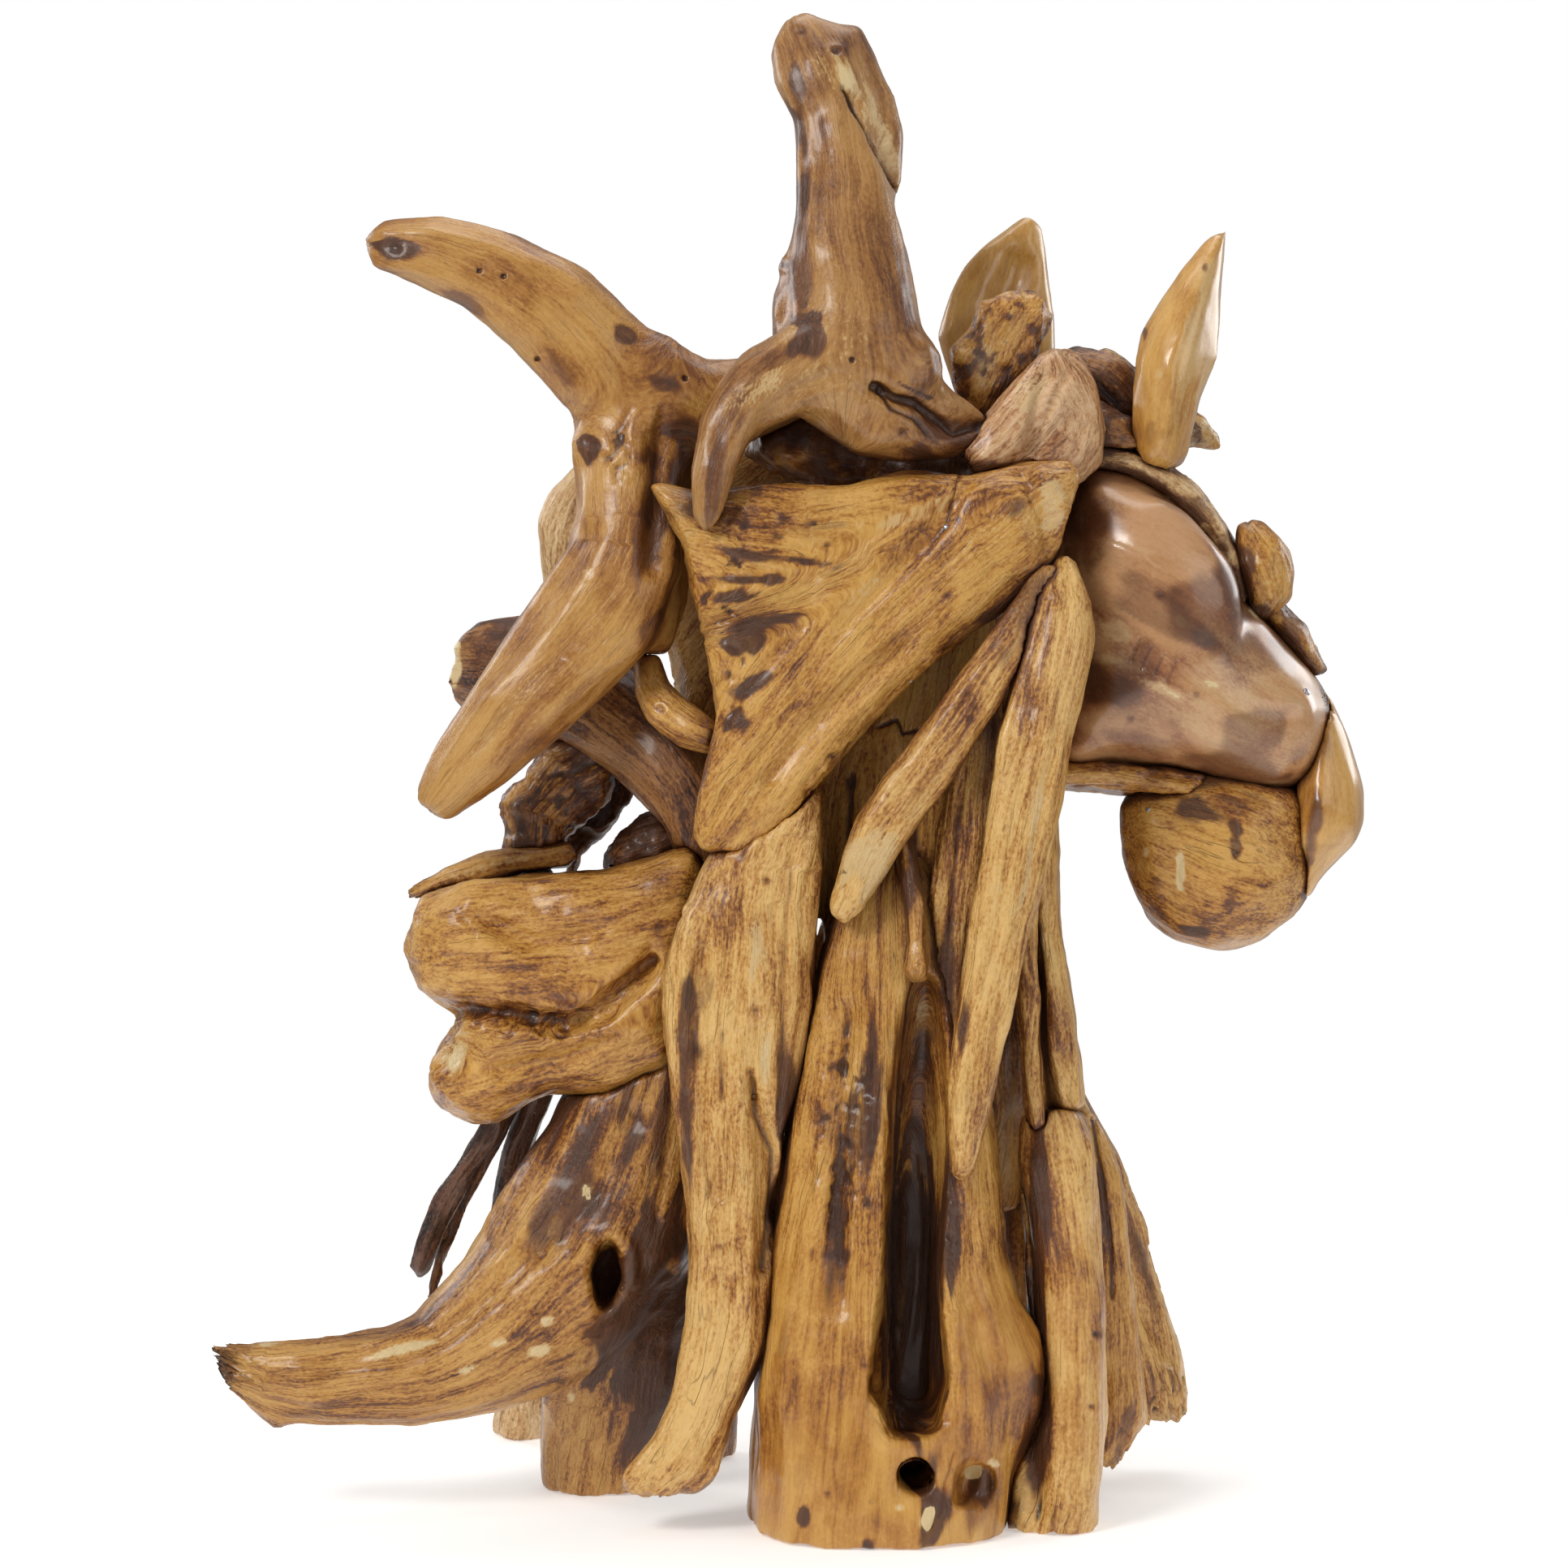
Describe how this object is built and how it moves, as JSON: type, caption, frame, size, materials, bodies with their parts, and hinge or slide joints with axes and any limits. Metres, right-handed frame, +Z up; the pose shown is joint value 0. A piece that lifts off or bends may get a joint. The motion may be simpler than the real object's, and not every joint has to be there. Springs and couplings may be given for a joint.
{
  "type": "driftwood horse head sculpture",
  "caption": "Horse head in profile built up from varnished driftwood roots, planks and polished blocks, standing on its root ends.",
  "frame": {"origin": "on the floor, under the middle of the sculpture's bounding box", "axes": "+Z up; +X the way the horse looks, to the right in the picture; +Y away from the viewer, towards the back"},
  "size_m": [1.0962, 0.5506, 1.3968],
  "materials": {
    "golden_teak": "varnished, warm golden brown with fine grain",
    "honey_teak": "varnished, honey coloured with long fine grain",
    "pale_teak": "weathered and bleached under thin varnish",
    "brown_teak": "varnished, red brown with dark stain",
    "dark_teak": "varnished, almost black brown",
    "polished_teak": "sanded smooth and polished to a gloss",
    "amber_teak": "sanded smooth, orange brown and glossy"
  },
  "bodies": {
    "root": {"back_front_strap": "honey_teak", "back_left_leg": "pale_teak", "back_mane_root": "golden_teak", "back_mane_slab": "honey_teak", "back_middle_leg": "brown_teak", "back_right_leg": "golden_teak", "back_strap": "honey_teak", "base_root": "brown_teak", "brow_strip": "pale_teak", "cheek_slab": "honey_teak", "chin_block": "golden_teak", "crest_root": "golden_teak", "cross_strap": "honey_teak", "crown_cap": "brown_teak", "crown_stub": "golden_teak", "crown_wedge": "brown_teak", "dark_boss": "dark_teak", "dark_burr": "dark_teak", "dark_root": "brown_teak", "far_ear": "amber_teak", "forelock_knot": "honey_teak", "front_edge_plank": "honey_teak", "front_slat": "honey_teak", "hanging_stick_left": "dark_teak", "hanging_stick_middle": "brown_teak", "hanging_stick_right": "dark_teak", "head_block": "polished_teak", "hollow_trunk": "golden_teak", "jaw_strip": "pale_teak", "knob_stick": "brown_teak", "left_crown_root": "golden_teak", "long_strap": "honey_teak", "mane_slab": "honey_teak", "near_ear": "honey_teak", "neck_plank": "golden_teak", "neck_root": "brown_teak", "nose_block": "amber_teak", "nose_strip": "honey_teak", "pale_bulge": "pale_teak", "poll_fork": "pale_teak", "right_leg": "golden_teak", "right_plank": "golden_teak", "right_skirt": "honey_teak", "right_splint": "honey_teak", "rust_burr": "brown_teak", "side_block": "golden_teak", "side_splinter": "brown_teak", "small_hook": "honey_teak", "tan_plate": "golden_teak"}
  },
  "joints": []
}
